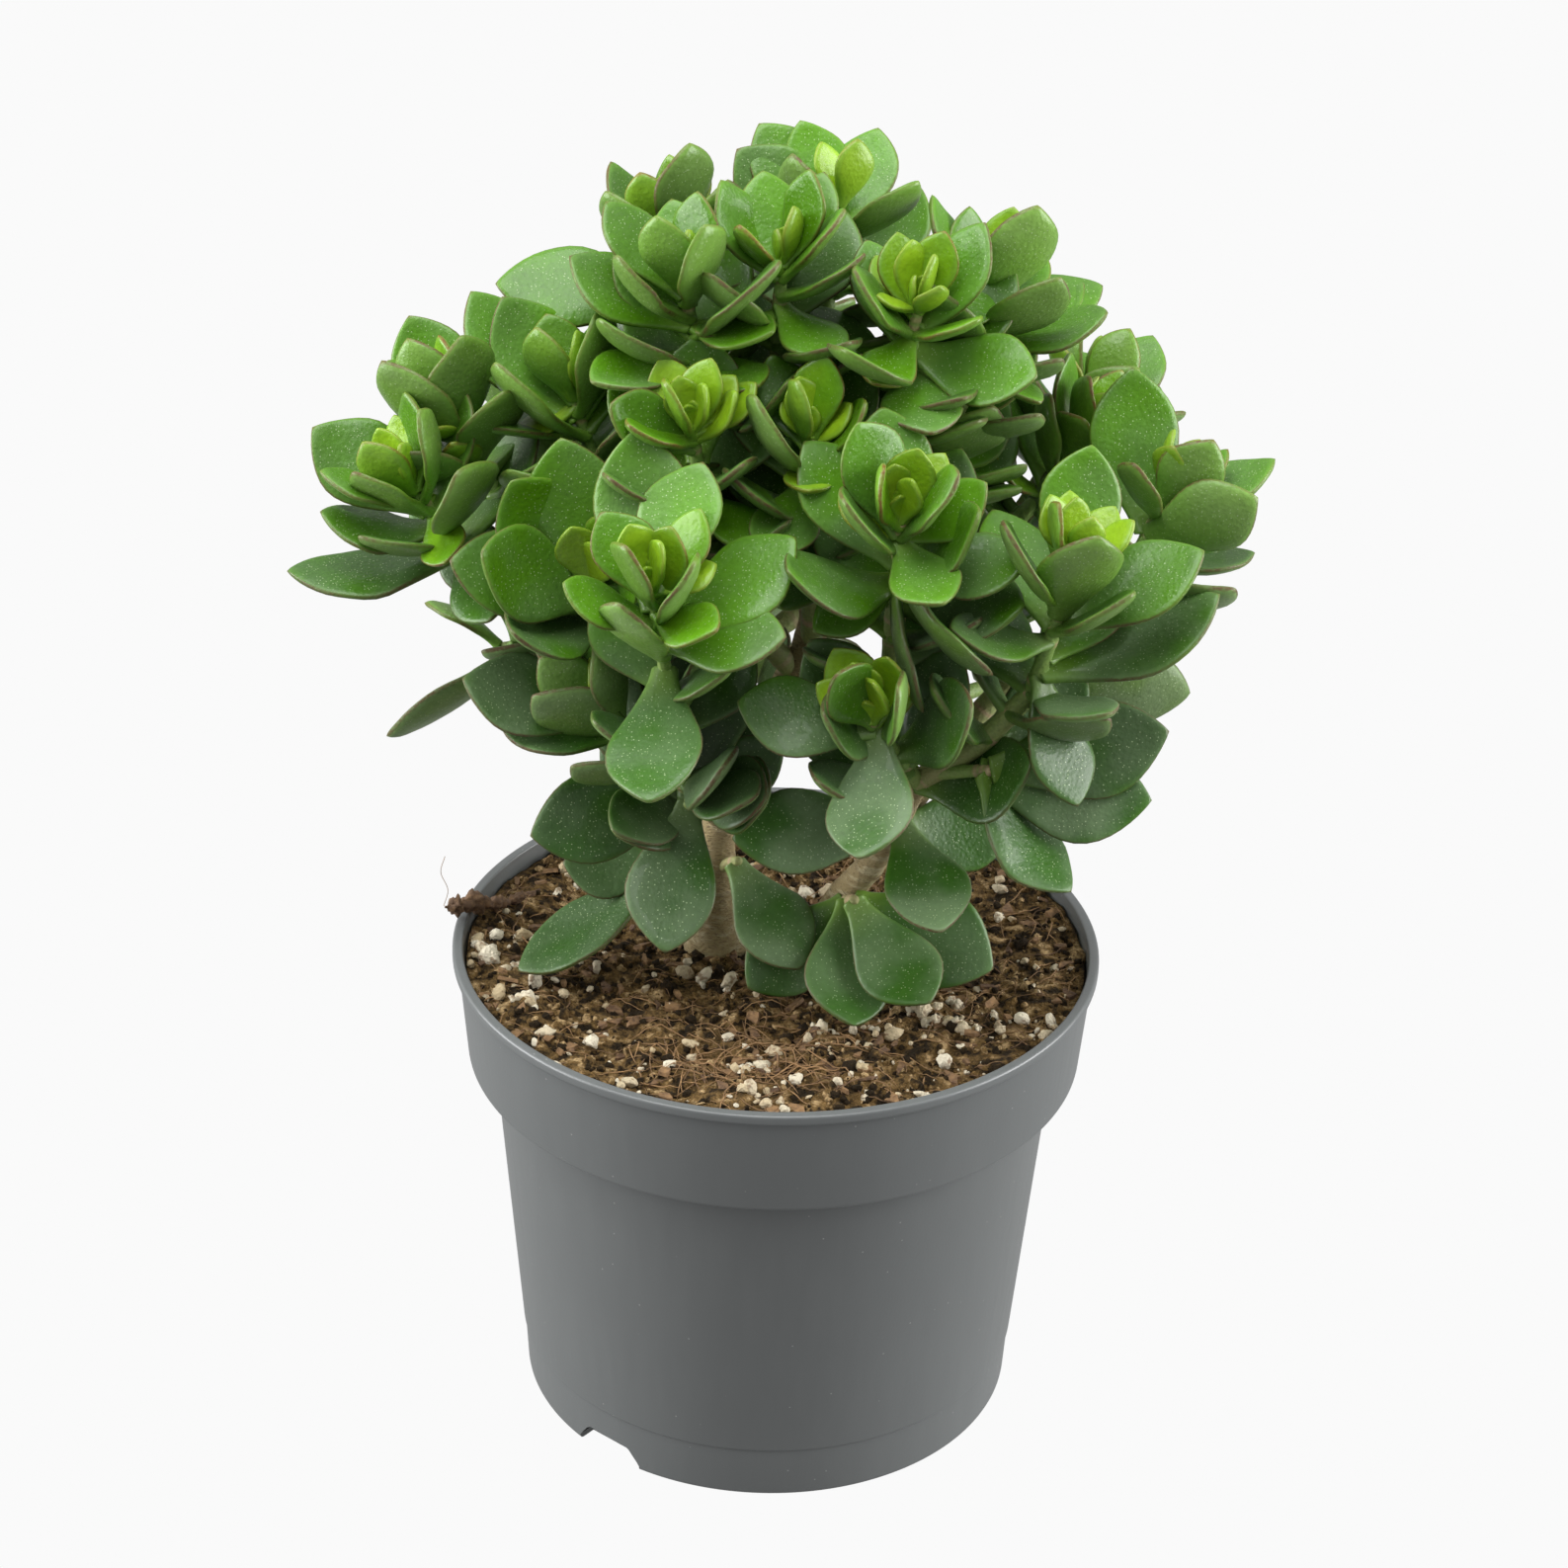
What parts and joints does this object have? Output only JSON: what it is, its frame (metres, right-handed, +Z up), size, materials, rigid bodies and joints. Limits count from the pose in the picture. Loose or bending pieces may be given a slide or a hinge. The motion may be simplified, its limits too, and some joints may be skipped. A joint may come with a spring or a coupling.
{
  "type": "potted jade plant",
  "caption": "Bushy potted jade plant with forked woody stems, fleshy paired leaves and a round plastic nursery pot filled with gritty soil.",
  "frame": {"origin": "middle of the pot's flat underside, on the surface that the pot stands on", "axes": "+Z straight up along the pot's axis, -Y towards the front that the plant is shown from, +X to the right of that front"},
  "size_m": [0.2437, 0.1902, 0.3421],
  "materials": {
    "pot_plastic": "satin grey injection-moulded plastic with fine light specks",
    "potting_soil": "rough brown peat and coir, loose and matt",
    "woody_bark": "beige-brown corky bark with ring scars",
    "green_stem": "pale green young stem with pinkish-beige leaf scars",
    "jade_leaf": "soft-gloss fleshy leaf, mid green, fine pale specks and a thin red-brown margin",
    "dry_bark": "dry dark brown bark, matt",
    "perlite": "cream-white expanded mineral grain, matt"
  },
  "bodies": {
    "root": {"bark_twig": "dry_bark", "limb_back": "green_stem", "limb_back_left": "green_stem", "limb_back_right": "green_stem", "limb_centre": "green_stem", "limb_centre_left": "green_stem", "limb_centre_right": "green_stem", "limb_front": "green_stem", "limb_inner_right": "green_stem", "limb_leader": "green_stem", "limb_left": "green_stem", "limb_right": "green_stem", "limb_right_back": "green_stem", "limb_right_front": "green_stem", "limb_top": "green_stem", "limb_top_back": "green_stem", "limb_top_left_back": "green_stem", "limb_top_right": "green_stem", "limb_upper_left": "green_stem", "perlite_1": "perlite", "perlite_2": "perlite", "perlite_3": "perlite", "pot": "pot_plastic", "second_stem": "woody_bark", "shoot_back": "jade_leaf", "shoot_back_left": "jade_leaf", "shoot_back_low": "jade_leaf", "shoot_back_low_left": "jade_leaf", "shoot_back_low_right": "jade_leaf", "shoot_back_right": "jade_leaf", "shoot_centre": "jade_leaf", "shoot_centre_back": "jade_leaf", "shoot_centre_left": "jade_leaf", "shoot_centre_right": "jade_leaf", "shoot_far_left": "jade_leaf", "shoot_front_left": "jade_leaf", "shoot_front_pair": "jade_leaf", "shoot_left": "jade_leaf", "shoot_left_front": "jade_leaf", "shoot_left_low": "jade_leaf", "shoot_lower_centre": "jade_leaf", "shoot_lower_left": "jade_leaf", "shoot_right_back": "jade_leaf", "shoot_right_front": "jade_leaf", "shoot_right_inner": "jade_leaf", "shoot_right_low": "jade_leaf", "shoot_right_upper": "jade_leaf", "shoot_second_low": "jade_leaf", "shoot_second_mid": "jade_leaf", "shoot_second_shoot": "jade_leaf", "shoot_top_left": "jade_leaf", "shoot_top_left_back": "jade_leaf", "shoot_top_middle": "jade_leaf", "shoot_top_middle_back": "jade_leaf", "shoot_top_right": "jade_leaf", "shoot_top_right_back": "jade_leaf", "shoot_upper_left": "jade_leaf", "soil": "potting_soil", "trunk": "woody_bark"}
  },
  "joints": []
}
